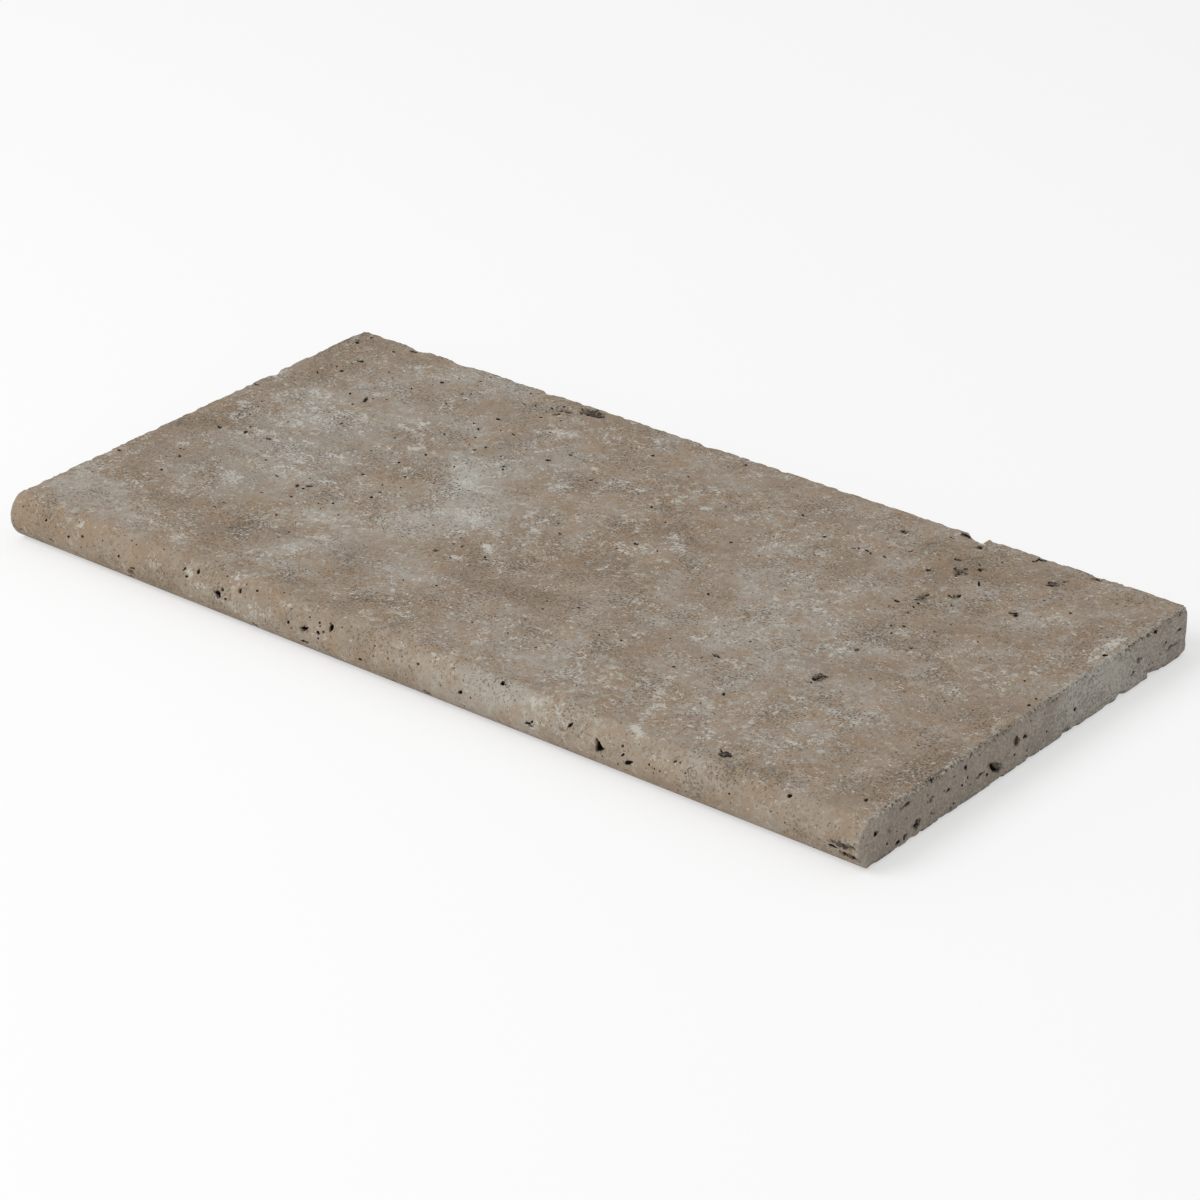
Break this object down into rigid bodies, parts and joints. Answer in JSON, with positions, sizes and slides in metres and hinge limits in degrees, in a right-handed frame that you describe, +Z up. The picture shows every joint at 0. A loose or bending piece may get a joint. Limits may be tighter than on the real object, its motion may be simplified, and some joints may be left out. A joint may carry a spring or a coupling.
{
  "type": "pool coping stone",
  "caption": "Flat rectangular coping slab of tumbled travertine, with a rounded nose along one long edge, for capping a pool wall or step.",
  "frame": {"origin": "middle of the bounding rectangle of the bed, which is the flat underside", "axes": "+X along the slab, +Y from the rounded nose towards the square back edge, +Z up out of the walked-on face"},
  "size_m": [0.61, 0.305, 0.0285],
  "materials": {
    "travertine": "tumbled, matte, open-pored travertine in warm walnut brown with pale grey clouds"
  },
  "bodies": {
    "root": {"coping_stone": "travertine"}
  },
  "joints": []
}
